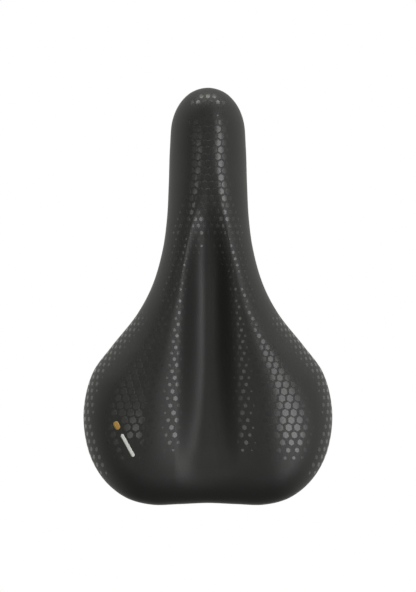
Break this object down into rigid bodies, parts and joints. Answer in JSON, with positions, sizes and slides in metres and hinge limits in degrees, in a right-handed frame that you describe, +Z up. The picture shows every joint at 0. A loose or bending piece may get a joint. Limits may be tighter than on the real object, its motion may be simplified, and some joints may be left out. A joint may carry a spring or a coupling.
{
  "type": "bicycle saddle",
  "caption": "Padded bicycle saddle with a long nose, a central relief channel, gel pads, a one-piece steel wire rail and a sprung elastomer rear.",
  "frame": {"origin": "middle of the seatpost clamp zone: halfway between the two straight rails, at the height of their axes", "axes": "+Y along the straight rails towards the nose, +X to the rider's right, +Z up"},
  "size_m": [0.16, 0.2662, 0.0815],
  "materials": {
    "cover_skin": "matte",
    "foam": "matte",
    "gel": "gloss",
    "base_plastic": "satin",
    "nylon": "satin",
    "rail_steel": "satin",
    "elastomer": "matte",
    "zinc_steel": "satin"
  },
  "bodies": {
    "rail_frame": {"rail": "rail_steel", "rear_bridge": "rail_steel", "bridge_rivets": "zinc_steel", "elastomer_left": "elastomer", "elastomer_right": "elastomer"},
    "seat": {"cover": "cover_skin", "foam_core": "foam", "gel_pad_left": "gel", "gel_pad_right": "gel", "gel_pad_nose": "gel", "base_shell": "base_plastic", "nose_keeper": "base_plastic", "nose_bush": "nylon", "keeper_screws": "zinc_steel", "cup_washer_left": "zinc_steel", "cup_washer_right": "zinc_steel", "bolt_washer_left": "zinc_steel", "bolt_washer_right": "zinc_steel", "suspension_bolt_left": "zinc_steel", "suspension_bolt_right": "zinc_steel", "captive_nut_left": "zinc_steel", "captive_nut_right": "zinc_steel"}
  },
  "joints": [
    {"name": "saddle_flex", "type": "hinge", "parent": "rail_frame", "child": "seat", "pos_m": [0, 0.106, 0.027], "axis": [1, 0, 0], "range_deg": [0, 1.2], "stiffness_Nm_per_rad": 3000, "springref_deg": -0.5, "deforming": ["elastomer_left", "elastomer_right"]}
  ]
}
